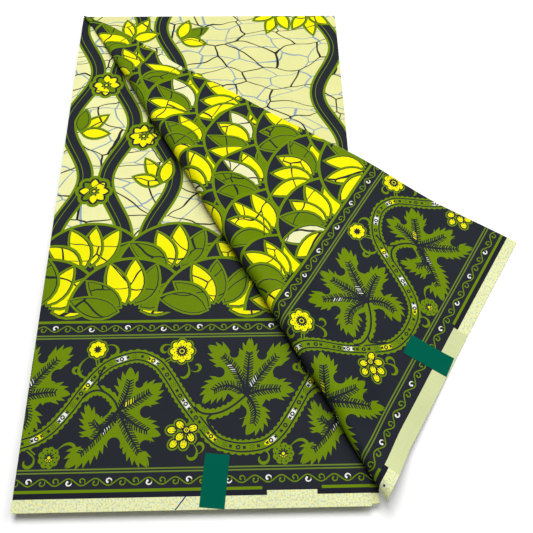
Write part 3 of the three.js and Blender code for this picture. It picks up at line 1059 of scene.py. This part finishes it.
def fold_grid():
    """Lattice points close together across the fold of the turned corner."""
    rows = []
    for across in np.arange(-24, 60, 1.5):
        first = max(across * LEAF_LENGTH / LEAF_WIDTH, -across * LEAF_WIDTH / LEAF_LENGTH)
        last = DIAGONAL - max(across * LEAF_WIDTH / LEAF_LENGTH, -across * LEAF_LENGTH / LEAF_WIDTH)
        along = np.arange(first + 2, last - 2, 5.0)
        rows.append(np.array([0, LEAF_LENGTH]) + np.outer(along, ALONG) + across * ACROSS)
    return np.vstack(rows)


# ---------------------------------------------------------------- materials
def link_or_set(tree, socket, value):
    if isinstance(value, bpy.types.NodeSocket):
        tree.links.new(value, socket)
    else:
        socket.default_value = value


def node_maker(tree):
    def make(kind, inputs, **settings):
        node = tree.nodes.new(kind)
        for key, value in settings.items():
            setattr(node, key, value)
        for key, value in inputs.items():
            link_or_set(tree, node.inputs[key], value)
        return node
    return make


def new_material(name):
    """A material, a maker of its nodes, and a function that sets or links its shader's inputs."""
    material = bpy.data.materials.new(name)
    material.use_nodes = True
    tree = material.node_tree
    shader = tree.nodes["Principled BSDF"]

    def set_shader(inputs):
        for label, value in inputs.items():
            link_or_set(tree, shader.inputs[label], value)

    return material, node_maker(tree), set_shader


def opaque(colour):
    """A shader colour that comes out as this sRGB colour."""
    return (*linear(colour), 1)


def cotton_material():
    """Printed cotton: its inks, the wax's crackle, the speckled selvedge, the weave and a faint gloss."""
    material, make, set_shader = new_material("printed_cotton")
    place = make("ShaderNodeUVMap", {}, uv_map="flat").outputs["UV"]

    def attribute(name, output):
        return make("ShaderNodeAttribute", {}, attribute_name=name).outputs[output]

    def noise(start, scale, detail, output="Fac"):
        return make("ShaderNodeTexNoise", {"Vector": start, "Scale": scale, "Detail": detail}).outputs[output]

    def remap(value, low, high, to_low=0.0, to_high=1.0):
        return make("ShaderNodeMapRange", {"Value": value, "From Min": low, "From Max": high,
                                           "To Min": to_low, "To Max": to_high}).outputs[0]

    def maths(operation, *values):
        return make("ShaderNodeMath", dict(enumerate(values)), operation=operation).outputs[0]

    def vector_maths(operation, inputs):
        return make("ShaderNodeVectorMath", inputs, operation=operation).outputs[0]

    def mix(amount, under, over, blend="MIX"):
        inputs = {0: amount, 6: under, 7: over}
        return make("ShaderNodeMix", inputs, data_type="RGBA", blend_type=blend).outputs[2]

    def wandering(start, scale, amount):
        """A place moved about by soft noise."""
        centred = vector_maths("SUBTRACT", {0: noise(start, scale, 0.5, "Color"), 1: (0.5, 0.5, 0.5)})
        return vector_maths("ADD", {0: start, 1: vector_maths("SCALE", {0: centred, "Scale": amount})})

    def cracks(scale, stretch, thin, wide, seed):
        """Thin lines between irregular cells, wider in some places than in others."""
        moved = wandering(wandering(place, 17.0, 0.032), 46.0, 0.011)
        shaped = make("ShaderNodeMapping", {"Vector": moved, "Location": (seed, seed * 0.7, 0),
                                            "Scale": (1.0, stretch, 1.0)}).outputs[0]
        cells = make("ShaderNodeTexVoronoi", {"Vector": shaped, "Scale": scale},
                     voronoi_dimensions="2D", feature="DISTANCE_TO_EDGE").outputs["Distance"]
        share = maths("DIVIDE", cells, remap(noise(shaped, 26.0, 2.0), 0.4, 0.6, thin, wide))
        return remap(share, 0.75, 1.1, 1.0, 0.0)

    # Blue and dark crackle lines: both on the cream ground, only the dark ones on the leaves
    colour, crackle = attribute("print_colour", "Color"), attribute("crackle", "Fac")
    on_cream, on_leaves_too = maths("GREATER_THAN", crackle, 0.9), maths("GREATER_THAN", crackle, 0.2)
    blue_lines = maths("MULTIPLY", cracks(24.0, 1.75, 0.023, 0.028, 0.31), on_cream)
    colour = mix(maths("MULTIPLY", blue_lines, 0.75), colour, opaque((98, 142, 190)))
    dark_lines = maths("MULTIPLY", cracks(20.0, 1.7, 0.021, 0.025, 0.0), on_leaves_too)
    colour = mix(dark_lines, colour, opaque((42, 46, 50)))

    # The selvedge's speckle: fine yellow-green and grey grains
    tint = remap(noise(place, 420.0, 1.0), 0.42, 0.58)
    speckled = mix(tint, opaque((255, 252, 176)), opaque((240, 249, 206)))
    grain = maths("MULTIPLY", remap(noise(place, 560.0, 1.5), 0.47, 0.64), 0.62)
    speckled = mix(grain, speckled, opaque((186, 198, 168)))
    colour = mix(attribute("speckle", "Fac"), colour, speckled)

    # Uneven dye and slubs along the threads
    patchy = noise(place, 30.0, 3.0)
    slubs = []
    for stretch in ((1500.0, 60.0, 1.0), (60.0, 1500.0, 1.0)):
        along = make("ShaderNodeMapping", {"Vector": place, "Scale": stretch}).outputs[0]
        slubs.append(noise(along, 1.0, 2.0))
    threads = maths("ADD", *slubs)
    shade = maths("ADD", maths("MULTIPLY_ADD", threads, 0.14, 0.78), maths("MULTIPLY", patchy, 0.16))
    tone = make("ShaderNodeCombineColor", {0: shade, 1: shade, 2: shade}).outputs[0]

    # Plain weave: about 30 threads to the centimetre each way
    waves = []
    for direction in ("X", "Y"):
        waves.append(make("ShaderNodeTexWave", {"Vector": place, "Scale": 480.0, "Distortion": 0.6,
                                                "Detail": 1.0}, bands_direction=direction).outputs["Fac"])
    height = maths("MULTIPLY_ADD", threads, 0.5, maths("MULTIPLY", *waves))
    bump = make("ShaderNodeBump", {"Height": height, "Strength": 0.12, "Distance": 0.00012}).outputs[0]
    set_shader({"Base Color": mix(1.0, colour, tone, "MULTIPLY"), "Normal": bump,
                "Roughness": remap(patchy, 0.0, 1.0, 0.52, 0.68), "Specular IOR Level": 0.04,
                "Sheen Weight": 0.006, "Sheen Roughness": 0.45})
    return material


def paper_material():
    """Smooth dyed label paper."""
    material, make, set_shader = new_material("label_paper")
    place = make("ShaderNodeTexCoord", {}).outputs["Object"]
    noise = make("ShaderNodeTexNoise", {"Vector": place, "Scale": 700.0, "Detail": 3.0}).outputs["Fac"]
    tints = {0: noise, 6: opaque((0, 96, 77)), 7: opaque((0, 106, 86))}
    colour = make("ShaderNodeMix", tints, data_type="RGBA").outputs[2]
    bump = make("ShaderNodeBump", {"Height": noise, "Strength": 0.08, "Distance": 0.0001}).outputs[0]
    set_shader({"Base Color": colour, "Normal": bump, "Roughness": 0.5, "Specular IOR Level": 0.0})
    return material


def floor_material():
    material, _, set_shader = new_material("white_paper")
    set_shader({"Base Color": (0.93, 0.93, 0.93, 1), "Roughness": 0.9, "Specular IOR Level": 0.0})
    return material


# ---------------------------------------------------------------- the two leaves that show
def second_leaf_outline():
    """The second leaf's outline: its right edge draws in towards the front."""
    v = np.linspace(0, LEAF_LENGTH, 60)
    short = SECOND_SHORT_FRONT + (SECOND_SHORT_BACK - SECOND_SHORT_FRONT) * smooth_step(v / SECOND_TAPER)
    return resample(np.vstack([[(0, 0)], np.column_stack([LEAF_WIDTH - short, v]), [(0, LEAF_LENGTH)]]))


def top_leaf_outline():
    return resample(np.array([(0, 0), (LEAF_WIDTH, 0), (LEAF_WIDTH, LEAF_LENGTH), (0, LEAF_LENGTH)]))


SHOWN_MARGIN = 26.0  # how far the print goes on past what shows
FOLD_MARGIN = 12.0  # the same, past the diagonal fold
FLAP_MIRROR = 348.0  # where the turned corner's print starts, as its other side shows it
# Rows of fans on each leaf: where the lowest stands, and how many rows
SECOND_FANS = (BORDER_TOP + 6, 2)
FLAP_FANS = (BORDER_TOP - 8, 11)
FAN_GROUND = 30  # how far up the second leaf the dark ground of its fans goes


def left_of_fold(points):
    return fold_place(points)[1] > -SHOWN_MARGIN


def open_flat_part(points):
    past_cover = points[:, 1] > LEAF_LENGTH - COVER_SLOPE * points[:, 0] - SHOWN_MARGIN
    return past_cover & (fold_place(points)[1] < FOLD_MARGIN)


MAIN_STRIPES = ((-BLEED, 211), (262, LEAF_WIDTH + BLEED))
MAIN_BOX = (215, 258)
PEN_LINE = ((136, -1), (137.4, -1), (146.4, SELVEDGE_TOP), (145, SELVEDGE_TOP))
# The same on the turned corner, back from FLAP_MIRROR
FLAP_STRIPES = ((120, -BLEED), (302, 290))
FLAP_BOX = (285, 123)
FLAP_DOT = (300, 7)


def main_selvedge(target):
    """What only the second leaf's selvedge has: the broken stripe, the bare box and a thin pen line."""
    for start, end in MAIN_STRIPES:
        stripe(target, *STRIPE, "olive", start, end)
    stripe(target, SELVEDGE_TOP - 0.5, MARGIN_TOP - 0.4, "selvedge", *MAIN_BOX)
    target.paint(PEN_LINE, "blue")


def flap_selvedge(target):
    """What only the turned corner's selvedge has: the broken stripe, a long pale box and a dot."""
    for start, end in FLAP_STRIPES:
        stripe(target, *STRIPE, "olive", FLAP_MIRROR - start, FLAP_MIRROR - end)
    stripe(target, -BLEED, MARGIN_TOP - 0.2, "bare", FLAP_MIRROR - FLAP_BOX[0], FLAP_MIRROR - FLAP_BOX[1])
    dot(target, (FLAP_MIRROR - FLAP_DOT[0], FLAP_DOT[1]), 1.1, "blue")


def dress(piece, node):
    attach(piece, "root")
    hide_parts(node)
    return piece


def build_second_leaf(material):
    drawing = Print(left_of_fold)
    chance = random.Random(4)
    draw_open_field(drawing, "cream", chance)
    stripe(drawing, BORDER_TOP, BORDER_TOP + FAN_GROUND, "navy")
    fan_rows(drawing, *SECOND_FANS, chance)
    draw_border(drawing)
    main_selvedge(drawing)
    piece = leaf_shell("second_leaf_cloth", second_leaf_place, second_leaf_outline(),
                       (drawing.shapes, grid(7.0)), (), material)
    return dress(piece, "second_leaf")


def build_top_leaf(material):
    flap = Print(left_of_fold, FLAP_MIRROR)
    stripe(flap, BORDER_TOP, LEAF_LENGTH + BLEED, "navy")
    fan_rows(flap, *FLAP_FANS, random.Random(11))
    draw_border(flap)
    flap_selvedge(flap)
    flat_part = Print(open_flat_part)
    # The open part's ground is the same cream, painted darker: painted shade.
    draw_open_field(flat_part, "painted_shade_cream", random.Random(5))
    lattice = np.vstack([grid(8.0), fold_grid()])
    piece = leaf_shell("top_leaf_cloth", top_leaf_place, top_leaf_outline(), (flat_part.shapes, lattice),
                       (flap.shapes, lattice), material)
    return dress(piece, "top_leaf")


# ---------------------------------------------------------------- the hidden leaves
# How far the hidden leaves stop short of the outline on their four sides, from the bottom up
STACK_INSETS = np.array([
    # left, right, front, back
    (2.0, 1.4, 6.4, 1.1), (0.9, 2.4, 5.2, 1.8), (1.8, 0.8, 3.9, 0.8), (1.0, 1.9, 2.7, 1.5),
    (1.6, 0.7, 1.0, 0.9),
])
LEAST_INSET = 0.35
HIDDEN_LEAVES = 16
STACK_CORNER = 3.0
# A hidden leaf's edge: height as a share of the leaf, and how far it draws back from its fullest place
BEAD = ((0.06, 0.42), (0.26, 0.06), (0.46, 0.1), (0.54, 0.1), (0.74, 0.06), (0.94, 0.42))
# What a leaf's folded side shows: the bands at its front, each with the place where it ends, and behind them
# patches of EDGE_INKS
EDGE_BANDS = ((SELVEDGE_TOP, "selvedge"), (15.0, "margin"), (18.0, "olive"), (31.3, "navy"), (35.2, "line"))
FOLDED_SIDE = 4.0  # how near the left or right edge a place counts as one on a folded side
EDGE_INKS = ("navy", "navy", "olive", "olive", "yellow", "bare")
EDGE_PATCHES = (5.0, 17.0)  # shortest and longest stretch of one ink along a folded side


def stack_walk():
    """Flat points round the leaf, anticlockwise, with short steps at the bands of the front corners."""
    up = np.concatenate([np.arange(4, 37, 1.6), np.linspace(38, LEAF_LENGTH - 6, 68)])
    across = np.linspace(5, LEAF_WIDTH - 5, 40)
    sides = [np.column_stack(np.broadcast_arrays(*side)) for side in (
        (across, 0.0), (LEAF_WIDTH, up), (across[::-1], LEAF_LENGTH), (0.0, up[::-1]))]
    far_u, far_v = LEAF_WIDTH - STACK_CORNER, LEAF_LENGTH - STACK_CORNER
    bends = ((far_u, STACK_CORNER), (far_u, far_v), (STACK_CORNER, far_v), (STACK_CORNER, STACK_CORNER))
    walk = []
    for number, (side, bend) in enumerate(zip(sides, bends)):
        angle = np.radians(np.arange(0, 90, 15) + 90 * (number - 1))
        walk += [side, bend + STACK_CORNER * spokes(angle)]
    return np.vstack(walk)


def stack_ring(walk, insets, draw_back, waves):
    """The walk drawn in by the insets of its four sides, and wandering a little as stacked edges do."""
    left, right, front, back = insets + draw_back
    scale_u = (LEAF_WIDTH - left - right) / LEAF_WIDTH
    scale_v = (LEAF_LENGTH - front - back) / LEAF_LENGTH
    ring = walk * (scale_u, scale_v) + (left, front)
    run = walk.sum(axis=1)
    drawn_in = sum(size * np.sin(run / length + phase) ** 2 for size, length, phase in waves)
    return ring - outward(ring) * drawn_in[:, None]


def edge_inks(walk, chance):
    """The ink that shows at each place along a leaf's edge."""
    inks = np.full(len(walk), INK_NAMES.index("selvedge"))
    bands_end = EDGE_BANDS[-1][0]
    folded = (walk[:, 0] > LEAF_WIDTH - FOLDED_SIDE) | (walk[:, 0] < FOLDED_SIDE)
    inks[folded & (walk[:, 1] >= bands_end)] = INK_NAMES.index("navy")
    for top, name in reversed(EDGE_BANDS):
        inks[folded & (walk[:, 1] < top)] = INK_NAMES.index(name)
    place, run = 0.0, lengths(walk)
    while place < run[-1]:
        end = place + chance.uniform(*EDGE_PATCHES)
        patch = (run >= place) & (run < end) & (walk[:, 1] > bands_end)
        inks[patch] = INK_NAMES.index(chance.choice(EDGE_INKS))
        place = end
    return inks


def build_stack(material):
    """The hidden leaves: one closed skin, a bead for each leaf's edge."""
    chance = random.Random(21)
    walk = stack_walk()
    rings, ring_inks = [], []
    for k in range(HIDDEN_LEAVES):
        at = k / (HIDDEN_LEAVES - 1) * (len(STACK_INSETS) - 1)
        insets = np.array([np.interp(at, np.arange(len(STACK_INSETS)), column) for column in STACK_INSETS.T])
        insets = np.maximum(LEAST_INSET, insets + [chance.uniform(-0.45, 0.45) for _ in range(4)])
        waves = [(chance.uniform(0.1, 0.5), chance.uniform(30, 90), chance.uniform(0, 6)) for _ in range(3)]
        inks = edge_inks(walk, chance)
        for height, draw_back in BEAD:
            ring = stack_ring(walk, insets, draw_back, waves)
            level = (k + height) * HIDDEN_HEIGHT / HIDDEN_LEAVES
            rings.insert(0, np.column_stack([ring, np.full(len(ring), level)]))
            ring_inks.insert(0, inks)
    bands = Print(lambda points: points[:, 0] > 0)
    draw_bands(bands)
    stripe(bands, BORDER_TOP, LEAF_LENGTH + BLEED, "navy")
    stripe(bands, *STRIPE, "olive")

    def level_side(ring, height, shapes):
        return Side(ring[:, :2], lambda flat: np.column_stack([flat, np.full(len(flat), height)]), 0, shapes)

    upper = level_side(rings[0], HIDDEN_HEIGHT, bands.shapes)
    lower = level_side(rings[-1], 0.0, ())
    piece = closed_shell("hidden_leaves", upper, lower, rings, material, ring_inks)
    return dress(piece, "folded_stack")


# ---------------------------------------------------------------- the labels
LABEL_SIZE = (21.5, 45.0)
LABEL_WALL = 0.3
LABEL_CLEARANCE = 0.15
LABEL_STEP = 3.0


def build_label(name, node, place, side, middle, turn, material):
    """A plain paper label that follows its leaf, on the upper face if side is 1 and the lower if it is -1."""
    size = np.array(LABEL_SIZE)
    corners = np.array([(-1, -1), (1, -1), (1, 1), (-1, 1)]) * size / 2
    cos, sin = heading_vector(turn)
    rotation = np.array([(cos, sin), (-sin, cos)])
    steps = []
    for start, end in zip(corners, np.roll(corners, -1, axis=0)):
        count = max(2, int(np.hypot(*(end - start)) / LABEL_STEP))
        steps.append(start + np.outer(np.arange(count) / count, end - start))
    outline = np.vstack(steps) @ rotation + middle
    lattice = grid(LABEL_STEP, 1 - size / 2, size / 2 - 1) @ rotation + middle
    low = side * (WALL / 2 + LABEL_CLEARANCE)
    high = low + side * LABEL_WALL
    lifts = (high, low) if side > 0 else (low, high)
    sides = [Side(outline, place, lift, (), lattice) for lift in lifts]
    spots, ups = surface(place, outline)
    piece = closed_shell(name, *sides, [spots + ups * (low + high) / 2], material)
    return dress(piece, node)


# ---------------------------------------------------------------- the stage
FLOOR_SIZE = 5.0  # metres
WORLD_STRENGTH = 0.15
LIGHTS = (  # name, place in metres, width, power in watts
    ("key", (-0.12, 0.8, 2.4), 1.5, 62.0),
    ("side", (1.3, 0.3, 2.0), 1.3, 18.0),
)


def build_floor():
    mesh = bpy.data.meshes.new("floor")
    half = FLOOR_SIZE / 2
    corners = [(-half, -half, 0), (half, -half, 0), (half, half, 0), (-half, half, 0)]
    mesh.from_pydata(corners, [], [(0, 1, 2, 3)])
    mesh.materials.append(floor_material())
    add_object("floor", mesh)


def build_lights():
    world = bpy.data.worlds.new("studio")
    world.use_nodes = True
    background = world.node_tree.nodes["Background"]
    background.inputs["Color"].default_value = (1, 1, 1, 1)
    background.inputs["Strength"].default_value = WORLD_STRENGTH
    bpy.context.scene.world = world
    for name, place, size, power in LIGHTS:
        light = bpy.data.lights.new(name, "AREA")
        light.shape = "DISK"
        light.size = size
        light.energy = power
        lamp = add_object(name, light)
        lamp.location = place
        lamp.rotation_euler = (-lamp.location).to_track_quat("-Z", "Y").to_euler()


SENSOR_WIDTH = 36.0
CAMERA_FOCAL = 660.6 / 533  # focal length as a share of the picture's width
CAMERA_ELEVATION = math.radians(62.60)
CAMERA_AZIMUTH = math.radians(-2.66)
CAMERA_ROLL = math.radians(1.61)
CAMERA_LOOK = (219.2, 229.4, 11.5)  # on the second leaf
CAMERA_DISTANCE = 662.7


def build_camera():
    level, height = math.cos(CAMERA_ELEVATION), math.sin(CAMERA_ELEVATION)
    back = Vector((math.sin(CAMERA_AZIMUTH) * level, -math.cos(CAMERA_AZIMUTH) * level, height))
    right = (-back).cross(Vector((0, 0, 1))).normalized()
    up = right.cross(-back)
    rolled_right = math.cos(CAMERA_ROLL) * right + math.sin(CAMERA_ROLL) * up
    rolled_up = math.cos(CAMERA_ROLL) * up - math.sin(CAMERA_ROLL) * right
    eye = (Vector(CAMERA_LOOK) + Vector(LEAF_CORNER.tolist()) + back * CAMERA_DISTANCE) * MM
    data = bpy.data.cameras.new("camera")
    data.sensor_width = SENSOR_WIDTH
    data.lens = SENSOR_WIDTH * CAMERA_FOCAL
    data.clip_start = 0.01
    camera = add_object("camera", data)
    axes = Matrix((rolled_right, rolled_up, back)).transposed()
    camera.matrix_world = Matrix.Translation(eye) @ axes.to_4x4()
    bpy.context.scene.camera = camera


build_camera()
build_lights()
build_floor()
cotton = cotton_material()
paper = paper_material()
second_leaf = build_second_leaf(cotton)
top_leaf = build_top_leaf(cotton)
stack = build_stack(cotton)
main_label = build_label("main_label", "label_main", second_leaf_place, 1, (170.3, 23.2), -5.5, paper)
flap_label = build_label("flap_label", "label_flap", top_leaf_place, -1, (164.6, 23.4), -3.5, paper)
bpy.context.scene.view_settings.view_transform = "Standard"
